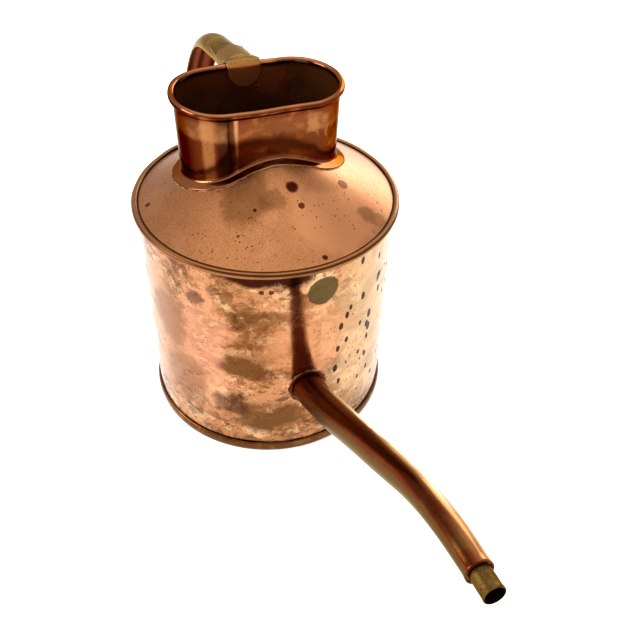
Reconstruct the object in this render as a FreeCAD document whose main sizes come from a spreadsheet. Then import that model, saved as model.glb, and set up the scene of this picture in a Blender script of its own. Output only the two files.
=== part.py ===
import FreeCAD, Part
import math
import os

import Sketcher
from FreeCAD import Placement, Rotation, Vector

# A copper watering can of sheet metal: a wired cylinder with a coned shoulder, an oblong neck,
# a half-round strap handle behind and a long bent spout in front with a brass ferrule.
# Millimetres. +Z is up, +X points along the spout, and the origin is the middle of the foot.

DRIVING = {
    "body_radius": 96.5,
    "body_height": 184.0,
    "sheet": 0.8,
    "bead_offset": 1.0,
    "bead_wire_radius": 1.7,
    "foot_height": 8.7,
    "foot_depth": 2.2,
    "foot_round": 1.4,
    "base_rise": 6.0,
    "base_flange_gap": 0.5,
    "solder_leg": 2.4,
    "shoulder_rise": 27.07,
    "shoulder_drop": 0.92,
    "cone_tip_radius": 4.825,
    "neck_set_back": 17.0,
    "neck_half_width": 36.1,
    "neck_half_run": 24.0,
    "neck_rise": 77.7,
    "rim_wire_radius": 1.6,
    "rim_offset": 0.5,
    "flange_width": 6.0,
    "seam_width": 1.2,
    "seam_thickness": 0.6,
    "spout_start_depth": 10.5,
    "spout_height": 66.7,
    "spout_root_slope": 19.0,
    "spout_slope": 30.3,
    "spout_tip_slope": 8.0,
    "spout_root_bend": 358.0,
    "spout_run": 115.8,
    "spout_tip_bend": 186.0,
    "spout_tip_run": 11.0,
    "spout_root_radius": 12.7,
    "spout_tip_radius": 7.5,
    "collar_width": 1.7,
    "collar_thickness": 1.4,
    "ferrule_radius": 6.0,
    "ferrule_bore": 4.9,
    "ferrule_length": 13.5,
    "ferrule_seat": 8.0,
    "ferrule_set_in": 1.0,
    "handle_half_width": 12.5,
    "handle_depth": 9.0,
    "handle_sheet": 1.0,
    "handle_top_drop": 3.7,
    "handle_top_slope": 9.0,
    "handle_top_run": 62.8,
    "handle_knuckle_bend": 70.0,
    "handle_back_slope": 45.0,
    "handle_back_bend": 190.0,
    "handle_turn_slope": 63.0,
    "handle_return_bend": 58.0,
    "handle_return_slope": 165.0,
    "handle_end_reach": 8.0,
    "tongue_thickness": 1.0,
    "tongue_drop": 15.7,
    "cuff_length": 24.0,
    "foot_plate_half_width": 15.0,
    "foot_plate_half_run": 7.0,
    "foot_plate_drop": 2.6,
    "foot_plate_thickness": 1.5,
    "rivet_radius": 2.0,
    "rivet_head_radius": 4.0,
    "rivet_head_height": 1.8,
    "rivet_seat": 0.1,
    "rivet_pitch": 31.0,
}

doc = FreeCAD.newDocument("watering_can")
sheet = doc.addObject("Spreadsheet::Sheet", "sizes")
for row, (alias, amount) in enumerate(DRIVING.items(), start=1):
    sheet.set(f"A{row}", alias)
    sheet.set(f"B{row}", str(amount))
    sheet.setAlias(f"B{row}", alias)
doc.recompute()


class Size:
    """A dimension: its value now, and the expression that ties it to the sheet."""

    def __init__(self, value, text):
        self.value = value
        self.text = text

    def __add__(self, other):
        other = as_size(other)
        return Size(self.value + other.value, f"({self.text} + {other.text})")

    def __sub__(self, other):
        other = as_size(other)
        return Size(self.value - other.value, f"({self.text} - {other.text})")

    def __mul__(self, other):
        other = as_size(other)
        return Size(self.value * other.value, f"({self.text} * {other.text})")

    def __truediv__(self, other):
        other = as_size(other)
        return Size(self.value / other.value, f"({self.text} / {other.text})")

    def __neg__(self):
        return Size(-self.value, f"(0 - {self.text})")

    def __radd__(self, other):
        return as_size(other) + self

    def __rsub__(self, other):
        return as_size(other) - self

    def __rmul__(self, other):
        return as_size(other) * self


def as_size(amount):
    return amount if isinstance(amount, Size) else Size(float(amount), str(float(amount)))


def sine(angle):
    return Size(math.sin(math.radians(angle.value)), f"sin({angle.text} * 1 deg)")


def cosine(angle):
    return Size(math.cos(math.radians(angle.value)), f"cos({angle.text} * 1 deg)")


def root(amount):
    return Size(math.sqrt(amount.value), f"sqrt({amount.text})")


def named(alias):
    return Size(sheet.get(alias), f"sizes.{alias}")


# Sizes that follow from the driving ones.

body_radius = named("body_radius")
body_height = named("body_height")
sheet_thickness = named("sheet")
body_inside = body_radius - sheet_thickness
bead_wire_radius = named("bead_wire_radius")
bead_radius = bead_wire_radius + sheet_thickness
bead_ring = body_radius + named("bead_offset")
solder_leg = named("solder_leg")
seam_width = named("seam_width")
seam_thickness = named("seam_thickness")

shoulder_angle = named("shoulder_rise")
shoulder_slope = sine(shoulder_angle) / cosine(shoulder_angle)
shoulder_edge = bead_ring - (bead_radius + bead_wire_radius) / 2
shoulder_foot = body_height + named("shoulder_drop")
shoulder_vertical = sheet_thickness / cosine(shoulder_angle)
shoulder_top_radius = named("cone_tip_radius")

neck_x = -named("neck_set_back")
neck_run = named("neck_half_run")
neck_outside = named("neck_half_width")
neck_inside = neck_outside - sheet_thickness
neck_top = body_height + named("neck_rise")
rim_line = neck_outside + named("rim_offset")
rim_wire_radius = named("rim_wire_radius")
rim_radius = rim_wire_radius + sheet_thickness
rim_x = neck_x - rim_line
rim_back = rim_x - rim_radius

handle_width = named("handle_half_width")
handle_depth = named("handle_depth")
handle_dome = (handle_width * handle_width + handle_depth * handle_depth) / (2 * handle_depth)
tongue_thickness = named("tongue_thickness")
handle_x = rim_back - tongue_thickness
handle_z = neck_top - named("handle_top_drop")

plate_radius = body_radius + named("foot_plate_thickness")
ferrule_radius = named("ferrule_radius")
ferrule_set_in = named("ferrule_set_in")
above_all = neck_top + rim_radius + 2 * handle_depth


# Sketches and primitives tied to the sheet.


def tie(thing, prop, amount):
    thing.setExpression(prop, as_size(amount).text)


def new_body(name):
    body = doc.addObject("PartDesign::Body", name)
    body.Label = name
    return body


def new_sketch(body, name, plane, offset=None, angle=None):
    """A sketch on one of the body's own planes, moved and tilted in that plane's frame."""
    sketch = body.newObject("Sketcher::SketchObject", name)
    support = [f for f in body.Origin.OriginFeatures if f.Role == plane][0]
    sketch.AttachmentSupport = [(support, "")]
    sketch.MapMode = "FlatFace"
    if offset:
        turn = Rotation(Vector(-1, 0, 0), angle.value) if angle else Rotation()
        base = Vector(*[as_size(c).value for c in offset])
        sketch.AttachmentOffset = Placement(base, turn)
        for axis, amount in zip("xyz", offset):
            tie(sketch, f"AttachmentOffset.Base.{axis}", amount)
        if angle:
            sketch.setExpression("AttachmentOffset.Rotation.Angle", f"{angle.text} * 1 deg")
    return sketch


def pin_point(sketch, geometry, place, point):
    for kind, amount in zip(("DistanceX", "DistanceY"), point):
        amount = as_size(amount)
        index = sketch.addConstraint(
            Sketcher.Constraint(kind, -1, 1, geometry, place, amount.value)
        )
        tie(sketch, f"Constraints[{index}]", amount)


def draw_line(sketch, start, end):
    ends = [Vector(as_size(x).value, as_size(y).value, 0) for x, y in (start, end)]
    return sketch.addGeometry(Part.LineSegment(*ends))


def draw_arc(sketch, start, end, radius, left):
    """An arc under half a turn from start to end, with its centre on the left or the right."""
    a, b = [Vector(as_size(x).value, as_size(y).value, 0) for x, y in (start, end)]
    chord = b - a
    reach = math.sqrt(max(radius.value**2 - (chord.Length / 2) ** 2, 0.0))
    side = Vector(-chord.y, chord.x, 0).normalize() * (reach if left else -reach)
    centre = (a + b) / 2 + side
    first, last = (a, b) if left else (b, a)
    angles = [math.atan2(p.y - centre.y, p.x - centre.x) for p in (first, last)]
    circle = Part.Circle(centre, Vector(0, 0, 1), radius.value)
    index = sketch.addGeometry(Part.ArcOfCircle(circle, *angles))
    constraint = sketch.addConstraint(Sketcher.Constraint("Radius", index, radius.value))
    tie(sketch, f"Constraints[{constraint}]", radius)
    return index


def draw_chain(sketch, points, arcs, closed):
    """Lines through the points. arcs maps a span's number to (radius, centre on the left)."""
    spans = len(points) if closed else len(points) - 1
    last_end = None
    first_start = None
    for number in range(spans):
        start, end = points[number], points[(number + 1) % len(points)]
        if number in arcs:
            radius, left = arcs[number]
            index = draw_arc(sketch, start, end, radius, left)
            enter, leave = (1, 2) if left else (2, 1)
        else:
            index = draw_line(sketch, start, end)
            enter, leave = 1, 2
        if last_end is None:
            first_start = (index, enter)
        else:
            sketch.addConstraint(Sketcher.Constraint("Coincident", *last_end, index, enter))
        pin_point(sketch, index, enter, start)
        last_end = (index, leave)
    if closed:
        sketch.addConstraint(Sketcher.Constraint("Coincident", *last_end, *first_start))
    else:
        pin_point(sketch, *last_end, points[-1])
    return sketch


def draw_oblong(sketch, centre_x, centre_y, run, radius):
    """A straight-sided oblong with round ends, long in the sketch's Y."""
    cx, cy, half, r = [as_size(a).value for a in (centre_x, centre_y, run, radius)]
    normal = Vector(0, 0, 1)
    upper = Part.ArcOfCircle(Part.Circle(Vector(cx, cy + half, 0), normal, r), 0, math.pi)
    lower = Part.ArcOfCircle(Part.Circle(Vector(cx, cy - half, 0), normal, r), math.pi, 0)
    top = sketch.addGeometry(upper)
    bottom = sketch.addGeometry(lower)
    left = sketch.addGeometry(
        Part.LineSegment(Vector(cx - r, cy + half, 0), Vector(cx - r, cy - half, 0))
    )
    right = sketch.addGeometry(
        Part.LineSegment(Vector(cx + r, cy - half, 0), Vector(cx + r, cy + half, 0))
    )
    for joint in ((top, 2, left, 1), (left, 2, bottom, 1), (bottom, 2, right, 1), (right, 2, top, 1)):
        sketch.addConstraint(Sketcher.Constraint("Tangent", *joint))
    sketch.addConstraint(Sketcher.Constraint("Equal", top, bottom))
    pin_point(sketch, top, 3, (centre_x, centre_y + run))
    pin_point(sketch, bottom, 3, (centre_x, centre_y - run))
    constraint = sketch.addConstraint(Sketcher.Constraint("Radius", top, r))
    tie(sketch, f"Constraints[{constraint}]", radius)
    return sketch


def draw_circle(sketch, radius, centre=(0, 0)):
    x, y = [as_size(c).value for c in centre]
    radius = as_size(radius)
    index = sketch.addGeometry(Part.Circle(Vector(x, y, 0), Vector(0, 0, 1), radius.value))
    pin_point(sketch, index, 3, centre)
    constraint = sketch.addConstraint(Sketcher.Constraint("Radius", index, radius.value))
    tie(sketch, f"Constraints[{constraint}]", radius)
    return sketch


def spin(name, points, arcs=None, plane="XZ_Plane", axis="V_Axis", offset=None):
    """A body turned about the sketch's axis from a closed outline of (radius, height) points."""
    body = new_body(name)
    sketch = new_sketch(body, f"{name}_outline", plane, offset)
    draw_chain(sketch, points, arcs or {}, closed=True)
    turned = body.newObject("PartDesign::Revolution", f"{name}_spin")
    turned.Profile = sketch
    turned.ReferenceAxis = (sketch, [axis])
    turned.Angle = 360.0
    return body


def push(body, sketch, length, name, both_ways=False, back=False):
    pad = body.newObject("PartDesign::Pad", name)
    pad.Profile = sketch
    tie(pad, "Length", length)
    pad.Midplane = both_ways
    pad.Reversed = back
    return pad


def oblong_prism(name, radius, low, height):
    """An upright prism of the neck's oblong plan."""
    body = new_body(name)
    sketch = new_sketch(body, f"{name}_plan", "XY_Plane", (0, 0, low))
    draw_oblong(sketch, neck_x, as_size(0), neck_run, radius)
    push(body, sketch, height, f"{name}_pad")
    return body


def rim_pipe(name, radius):
    """A round bar that follows the neck's rim."""
    body = new_body(name)
    path = new_sketch(body, f"{name}_path", "XY_Plane", (0, 0, neck_top))
    draw_oblong(path, neck_x, as_size(0), neck_run, rim_line)
    section = new_sketch(body, f"{name}_section", "XZ_Plane")
    draw_circle(section, radius, (neck_x + rim_line, neck_top))
    pipe = body.newObject("PartDesign::AdditivePipe", f"{name}_pipe")
    pipe.Profile = section
    pipe.Spine = path
    return body


def cylinder(name, radius, height, base=(0, 0, 0), axis="Z", slope=None):
    """A cylinder along Z, along -X, or in the XZ plane at a slope above X."""
    rod = doc.addObject("Part::Cylinder", name)
    tie(rod, "Radius", radius)
    tie(rod, "Height", height)
    set_place(rod, base, axis, slope)
    return rod


def set_place(thing, base, axis="Z", slope=None):
    """Puts a piece at base, with its own Z kept, laid along -X, or at a slope above X."""
    place = Vector(*[as_size(c).value for c in base])
    if slope:
        turn = Rotation(Vector(0, 1, 0), 90 - slope.value)
    else:
        turn = Rotation(Vector(0, 1, 0), -90) if axis == "-X" else Rotation()
    thing.Placement = Placement(place, turn)
    for letter, amount in zip("xyz", base):
        tie(thing, f"Placement.Base.{letter}", amount)
    if slope:
        thing.setExpression("Placement.Rotation.Angle", f"(90 - {slope.text}) * 1 deg")


def torus(name, ring, section, height):
    ring_body = doc.addObject("Part::Torus", name)
    tie(ring_body, "Radius1", ring)
    tie(ring_body, "Radius2", section)
    set_place(ring_body, (0, 0, height))
    return ring_body


def cone(name, low_radius, low):
    """The solid under the shoulder's slope, from low_radius at height low up to its small top."""
    solid = doc.addObject("Part::Cone", name)
    tie(solid, "Radius1", low_radius)
    tie(solid, "Radius2", shoulder_top_radius)
    tie(solid, "Height", (low_radius - shoulder_top_radius) * shoulder_slope)
    set_place(solid, (0, 0, low))
    return solid


def cut(name, base, *tools):
    for number, tool in enumerate(tools, start=1):
        last = number == len(tools)
        piece = doc.addObject("Part::Cut", name if last else f"{name}_step_{number}")
        piece.Base = base
        piece.Tool = tool
        base = piece
    return base


def fuse(name, *shapes):
    piece = doc.addObject("Part::MultiFuse", name)
    piece.Shapes = list(shapes)
    return piece


def common(name, *shapes):
    piece = doc.addObject("Part::MultiCommon", name)
    piece.Shapes = list(shapes)
    return piece


class Route:
    """A path in the XZ plane of lines and tangent arcs. A heading is an angle above +X."""

    def __init__(self, x, z, heading):
        self.points = [(as_size(x), as_size(z))]
        self.first_heading = heading
        self.heading = heading
        self.arcs = {}

    def line(self, length):
        x, z = self.points[-1]
        self.points.append((x + length * cosine(self.heading), z + length * sine(self.heading)))
        return self

    def arc(self, radius, heading):
        """Turns left if the new heading is the larger angle, and else right."""
        x, z = self.points[-1]
        left = heading.value > self.heading.value
        across = sine(heading) - sine(self.heading)
        along = cosine(self.heading) - cosine(heading)
        if not left:
            across, along = -across, -along
        self.arcs[len(self.points) - 1] = (radius, left)
        self.points.append((x + radius * across, z + radius * along))
        self.heading = heading
        return self


def pipe_along(name, route, draw_start, draw_end=None, tilted=True):
    """A body swept along the route. Its first section, and its last one if it differs, are drawn."""
    body = new_body(name)
    path = draw_chain(
        new_sketch(body, f"{name}_path", "XZ_Plane"), route.points, route.arcs, closed=False
    )
    x, z = route.points[0]
    angle = route.first_heading if tilted else None
    start = new_sketch(body, f"{name}_start", "YZ_Plane", (0, z, x), angle)
    draw_start(start)
    pipe = body.newObject("PartDesign::AdditivePipe", f"{name}_pipe")
    pipe.Profile = start
    pipe.Spine = path
    if draw_end:
        x, z = route.points[-1]
        end = new_sketch(body, f"{name}_end", "YZ_Plane", (0, z, x), route.heading)
        draw_end(end)
        pipe.Sections = [end]
        pipe.Transformation = "Multisection"
    return body


# The vessel: wall, base, foot band, shoulder and the wire in its bead.

spout_root_slope = named("spout_root_slope")
spout_root_x = body_radius - named("spout_start_depth")
spout_root_z = named("spout_height")
spout_route = Route(spout_root_x, spout_root_z, spout_root_slope)
spout_route.arc(named("spout_root_bend"), named("spout_slope")).line(named("spout_run"))
spout_route.arc(named("spout_tip_bend"), named("spout_tip_slope")).line(named("spout_tip_run"))
spout_root_radius = named("spout_root_radius")
spout_tip_radius = named("spout_tip_radius")
spout_outside = pipe_along(
    "spout_outside",
    spout_route,
    lambda sketch: draw_circle(sketch, spout_root_radius),
    lambda sketch: draw_circle(sketch, spout_tip_radius),
)
spout_bore = pipe_along(
    "spout_bore",
    spout_route,
    lambda sketch: draw_circle(sketch, spout_root_radius - sheet_thickness),
    lambda sketch: draw_circle(sketch, spout_tip_radius - sheet_thickness),
)


def headed(slope):
    """A slope below -X, as a heading above +X."""
    return 180 + slope


handle_route = Route(handle_x, handle_z, headed(named("handle_top_slope")))
handle_route.line(named("handle_top_run"))
handle_route.arc(named("handle_knuckle_bend"), headed(named("handle_back_slope")))
handle_route.arc(named("handle_back_bend"), headed(named("handle_turn_slope")))
handle_route.arc(named("handle_return_bend"), headed(named("handle_return_slope")))
return_x = handle_route.points[-1][0]
last_run = (-return_x - plate_radius + named("handle_end_reach")) / cosine(handle_route.heading)
handle_route.line(last_run)
end_x, end_z = handle_route.points[-1]
end_fall = sine(handle_route.heading) / cosine(handle_route.heading)
landing_z = end_z - (end_x + plate_radius) * end_fall
plate_z = landing_z - named("foot_plate_drop")
rivet_heights = [plate_z + side * named("rivet_pitch") / 2 for side in (-1, 1)]


def rivet_holes(name):
    """One bore for each rivet, along -X from inside the wall out past the plate."""
    length = plate_radius - body_inside + 2 * named("rivet_head_height")
    start = named("rivet_head_height") - body_inside
    return [
        cylinder(
            f"{name}_{number}", named("rivet_radius"), length, (start, 0, height), axis="-X"
        )
        for number, height in enumerate(rivet_heights, start=1)
    ]


body_wall = cut(
    "body_wall",
    cylinder("body_wall_outside", body_radius, body_height),
    cylinder("body_wall_inside", body_inside, body_height),
    torus("body_wall_bead", bead_ring, bead_radius, body_height),
    spout_bore,
    *rivet_holes("body_wall_rivet_hole"),
)

base_rise = named("base_rise")
base_plate = spin(
    "base_plate",
    [
        (0, base_rise - sheet_thickness),
        (body_inside - sheet_thickness, base_rise - sheet_thickness),
        (body_inside - sheet_thickness, named("base_flange_gap")),
        (body_inside, named("base_flange_gap")),
        (body_inside, base_rise),
        (0, base_rise),
    ],
)
base_solder = spin(
    "base_solder",
    [
        (body_inside, base_rise),
        (body_inside, base_rise + solder_leg),
        (body_inside - solder_leg, base_rise),
    ],
)

foot_edge = body_radius + named("foot_depth")
foot_height = named("foot_height")
foot_round = named("foot_round")
foot_band = spin(
    "foot_band",
    [
        (body_radius, 0),
        (foot_edge - foot_round, 0),
        (foot_edge, foot_round),
        (foot_edge, foot_height - foot_round),
        (foot_edge - foot_round, foot_height),
        (body_radius, foot_height),
    ],
    {1: (foot_round, True), 3: (foot_round, True)},
)

shoulder_rise_height = (shoulder_edge - shoulder_top_radius) * shoulder_slope
shoulder_cone = spin(
    "shoulder_cone",
    [
        (shoulder_edge, shoulder_foot - shoulder_vertical),
        (shoulder_edge, shoulder_foot),
        (shoulder_top_radius, shoulder_foot + shoulder_rise_height),
        (shoulder_top_radius, shoulder_foot + shoulder_rise_height - shoulder_vertical),
    ],
)
shoulder_roll = cut(
    "shoulder_roll",
    torus("shoulder_roll_outside", bead_ring, bead_radius, body_height),
    torus("shoulder_roll_inside", bead_ring, bead_wire_radius, body_height),
)
shoulder_plate = cut(
    "shoulder_plate",
    fuse("shoulder_sheet", shoulder_cone, shoulder_roll),
    oblong_prism("neck_opening", neck_inside, body_height, above_all - body_height),
)
shoulder_wire = torus("shoulder_wire", bead_ring, bead_wire_radius, body_height)
roll_inner_edge = bead_ring - bead_radius
roll_crossing = bead_ring - body_inside
roll_low = body_height - root(bead_radius * bead_radius - roll_crossing * roll_crossing)
shoulder_solder = spin(
    "shoulder_solder",
    [
        (body_inside, roll_low - solder_leg),
        (body_inside, roll_low),
        (roll_inner_edge, body_height),
        (roll_inner_edge - solder_leg, shoulder_foot - shoulder_vertical),
    ],
    {1: (bead_radius, False)},
)

# The neck: an oblong collar with a flange soldered to the shoulder and a wired rim.


def layer_on_shoulder(name, thickness):
    """The solid from the can's middle out to a layer lying on the shoulder's slope."""
    return cone(name, shoulder_edge, shoulder_foot + thickness)


neck_height = neck_top - shoulder_foot
neck_sheet = cut(
    "neck_sheet",
    oblong_prism("neck_outside", neck_outside, shoulder_foot, neck_height),
    oblong_prism("neck_inside", neck_inside, shoulder_foot, neck_height),
    layer_on_shoulder("neck_foot_cone", as_size(0)),
)
neck_flange = cut(
    "neck_flange",
    common(
        "neck_flange_blank",
        oblong_prism(
            "neck_flange_edge", neck_outside + named("flange_width"), shoulder_foot, neck_height
        ),
        layer_on_shoulder("neck_flange_cone", shoulder_vertical),
    ),
    layer_on_shoulder("neck_flange_seat", as_size(0)),
    oblong_prism("neck_flange_hole", neck_inside, shoulder_foot, neck_height),
)
neck_wall = cut(
    "neck_wall",
    fuse("neck_blank", neck_sheet, neck_flange, rim_pipe("neck_rim_roll", rim_radius)),
    rim_pipe("neck_wire_space", rim_wire_radius),
)
neck_rim_wire = rim_pipe("neck_rim_wire", rim_wire_radius)
neck_solder = cut(
    "neck_solder",
    common(
        "neck_solder_blank",
        oblong_prism(
            "neck_solder_edge",
            neck_outside + named("flange_width") + seam_width,
            shoulder_foot,
            neck_height,
        ),
        layer_on_shoulder("neck_solder_cone", seam_thickness),
    ),
    layer_on_shoulder("neck_solder_seat", as_size(0)),
    oblong_prism(
        "neck_solder_gap", neck_outside + named("flange_width"), shoulder_foot, neck_height
    ),
)

# The spout: a tapered tube on a collar, with a brass ferrule soldered into its tip.

spout_tube = cut(
    "spout_tube",
    spout_outside,
    spout_bore,
    cylinder("spout_tube_seat", body_radius, above_all),
)


def patch_round_spout(name, radius, thickness, inner):
    """A patch of the given thickness on the wall's outside, between inner and a round edge."""
    return cut(
        name,
        common(
            f"{name}_blank",
            cylinder(
                f"{name}_edge", radius, 2 * body_radius, (spout_root_x, 0, spout_root_z),
                slope=spout_root_slope,
            ),
            cylinder(f"{name}_face", body_radius + thickness, above_all),
        ),
        cylinder(f"{name}_seat", body_radius, above_all),
        inner,
    )


collar_radius = spout_root_radius + named("collar_width")
spout_root_collar = patch_round_spout(
    "spout_root_collar", collar_radius, named("collar_thickness"), spout_outside
)
spout_solder = patch_round_spout(
    "spout_solder",
    collar_radius + seam_width,
    seam_thickness,
    cylinder(
        "spout_solder_gap", collar_radius, 2 * body_radius, (spout_root_x, 0, spout_root_z),
        slope=spout_root_slope,
    ),
)

spout_tip_slope = named("spout_tip_slope")
tip_x, tip_z = spout_route.points[-1]


def along_tip(distance):
    """The point on the spout's last line, distance beyond its tip."""
    return (tip_x + distance * cosine(spout_tip_slope), 0, tip_z + distance * sine(spout_tip_slope))


ferrule_shank = ferrule_radius - sheet_thickness / 2
ferrule_back = -named("ferrule_seat")
spout_ferrule = spin(
    "spout_ferrule",
    [
        (named("ferrule_bore"), ferrule_back),
        (ferrule_shank, ferrule_back),
        (ferrule_shank, -ferrule_set_in),
        (ferrule_radius, -ferrule_set_in),
        (ferrule_radius, named("ferrule_length")),
        (named("ferrule_bore"), named("ferrule_length")),
    ],
)
set_place(spout_ferrule, along_tip(as_size(0)), slope=spout_tip_slope)
tip_solder = cut(
    "tip_solder",
    common(
        "tip_solder_blank",
        cylinder(
            "tip_solder_plug", spout_tip_radius, named("ferrule_seat") - ferrule_set_in,
            along_tip(ferrule_back), slope=spout_tip_slope,
        ),
        spout_bore,
    ),
    cylinder(
        "tip_solder_bore", ferrule_shank, named("ferrule_seat"), along_tip(ferrule_back),
        slope=spout_tip_slope,
    ),
)

# The handle: a half-round strap from the neck's rim to a riveted plate on the body's back.


def draw_half_round(sketch, growth, thickness, centre_z=0):
    """A half-round shell as wide as the strap and its growth, open on its lower side."""
    drop = handle_dome - handle_depth
    outer = handle_dome + growth
    inner = outer - thickness
    outer_half = root(outer * outer - drop * drop)
    inner_half = root(inner * inner - drop * drop)
    points = [
        (outer_half, centre_z),
        (-outer_half, centre_z),
        (-inner_half, centre_z),
        (inner_half, centre_z),
    ]
    draw_chain(sketch, points, {0: (outer, True), 2: (inner, False)}, closed=True)


cuff_route = Route(handle_x, handle_z, headed(named("handle_top_slope")))
cuff_route.line(named("cuff_length"))
handle_strap = cut(
    "handle_strap",
    pipe_along(
        "handle_sweep",
        handle_route,
        lambda sketch: draw_half_round(sketch, as_size(0), named("handle_sheet")),
        tilted=False,
    ),
    cylinder("handle_foot_seat", plate_radius, body_height),
)

cuff = pipe_along(
    "tongue_cuff",
    cuff_route,
    lambda sketch: draw_half_round(sketch, tongue_thickness, tongue_thickness),
    tilted=False,
)
cap = new_body("tongue_cap")
cap_outline = new_sketch(cap, "tongue_cap_outline", "YZ_Plane", (0, handle_z, handle_x))
cap_dome = handle_dome + tongue_thickness
cap_drop = handle_dome - handle_depth
cap_half = root(cap_dome * cap_dome - cap_drop * cap_drop)
draw_chain(cap_outline, [(cap_half, 0), (-cap_half, 0)], {0: (cap_dome, True)}, closed=True)
push(cap, cap_outline, tongue_thickness, "tongue_cap_pad")

lip_radius = rim_radius + tongue_thickness
lip_end = neck_top - named("tongue_drop")
lip = new_body("tongue_lip")
lip_outline = new_sketch(lip, "tongue_lip_outline", "XZ_Plane")
draw_chain(
    lip_outline,
    [
        (handle_x, neck_top + rim_radius),
        (rim_x, neck_top + rim_radius),
        (rim_x + rim_radius, neck_top),
        (rim_x + rim_radius, lip_end),
        (rim_x + lip_radius, lip_end),
        (rim_x + lip_radius, neck_top),
        (rim_x, neck_top + lip_radius),
        (handle_x, neck_top + lip_radius),
    ],
    {1: (rim_radius, False), 5: (lip_radius, True)},
    closed=True,
)
push(lip, lip_outline, 2 * handle_width, "tongue_lip_pad", both_ways=True)
tab = new_body("tongue_tab")
tab_outline = new_sketch(tab, "tongue_tab_outline", "YZ_Plane")
draw_oblong(tab_outline, as_size(0), neck_top, neck_top - lip_end - handle_width, handle_width)
push(tab, tab_outline, 2 * body_radius, "tongue_tab_pad", both_ways=True)
handle_tongue = fuse("handle_tongue", cuff, cap, common("tongue_fold", lip, tab))

handle_solder = new_body("handle_solder")
wedge = new_sketch(handle_solder, "handle_solder_outline", "XZ_Plane")
neck_back = neck_x - neck_outside
wedge_top = neck_top - rim_radius
draw_chain(
    wedge,
    [
        (neck_back, handle_z - handle_depth),
        (neck_back, wedge_top),
        (rim_back, wedge_top),
        (rim_back, handle_z),
    ],
    {},
    closed=True,
)
push(handle_solder, wedge, 2 * handle_width - 2 * solder_leg, "handle_solder_pad", both_ways=True)

plate_shape = new_body("foot_plate_shape")
plate_outline = new_sketch(plate_shape, "foot_plate_outline", "YZ_Plane")
draw_oblong(
    plate_outline,
    as_size(0),
    plate_z,
    named("foot_plate_half_run"),
    named("foot_plate_half_width"),
)
push(plate_shape, plate_outline, 2 * body_radius, "foot_plate_pad", back=True)
handle_foot_plate = cut(
    "handle_foot_plate",
    common(
        "foot_plate_blank", plate_shape, cylinder("foot_plate_face", plate_radius, above_all)
    ),
    cylinder("foot_plate_seat", body_radius, above_all),
    *rivet_holes("foot_plate_rivet_hole"),
)

head_radius = named("rivet_head_radius")
head_height = named("rivet_head_height")
head_crown = (head_radius * head_radius + head_height * head_height) / (2 * head_height)
inner_head = body_inside - named("rivet_seat")
rivet_outline = [
    (-plate_radius - head_height, 0),
    (head_height - inner_head, 0),
    (-inner_head, head_radius),
    (-inner_head, named("rivet_radius")),
    (-plate_radius, named("rivet_radius")),
    (-plate_radius, head_radius),
]
handle_rivets = spin(
    "handle_rivets",
    rivet_outline,
    {1: (head_crown, True), 5: (head_crown, True)},
    axis="H_Axis",
    offset=(0, rivet_heights[0], 0),
)
rivet_row = handle_rivets.newObject("PartDesign::LinearPattern", "rivet_row")
rivet_row.Originals = [handle_rivets.Tip]
rivet_row.Direction = (doc.getObject("handle_rivets_outline"), ["V_Axis"])
tie(rivet_row, "Length", named("rivet_pitch"))
rivet_row.Occurrences = 2
handle_rivets.Tip = rivet_row

doc.recompute()

NODES = {
    "body_wall": body_wall,
    "base_plate": base_plate,
    "base_solder": base_solder,
    "foot_band": foot_band,
    "shoulder_plate": shoulder_plate,
    "shoulder_wire": shoulder_wire,
    "shoulder_solder": shoulder_solder,
    "neck_wall": neck_wall,
    "neck_rim_wire": neck_rim_wire,
    "neck_solder": neck_solder,
    "spout_tube": spout_tube,
    "spout_root_collar": spout_root_collar,
    "spout_solder": spout_solder,
    "spout_ferrule": spout_ferrule,
    "tip_solder": tip_solder,
    "handle_strap": handle_strap,
    "handle_tongue": handle_tongue,
    "handle_solder": handle_solder,
    "handle_foot_plate": handle_foot_plate,
    "handle_rivets": handle_rivets,
}

for thing in doc.Objects:
    if "Invalid" in thing.State or "Error" in thing.State:
        raise RuntimeError(f"{thing.Name} did not build: {thing.State}")
for name, piece in NODES.items():
    piece.Label = name
    if piece.Shape.isNull() or not piece.Shape.isValid():
        raise RuntimeError(f"{name} has no valid shape")

os.makedirs("parts", exist_ok=True)
for name, piece in NODES.items():
    piece.Shape.exportStep(f"parts/{name}.step")
    box = piece.Shape.BoundBox
    print(
        f"{name}: {len(piece.Shape.Solids)} solid(s), {piece.Shape.Volume:.1f} mm3, "
        f"x {box.XMin:.1f}..{box.XMax:.1f}, y {box.YMin:.1f}..{box.YMax:.1f}, "
        f"z {box.ZMin:.1f}..{box.ZMax:.1f}"
    )
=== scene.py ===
import math

import bmesh
import bpy
import numpy as np
from mathutils import Matrix, Vector


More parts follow.
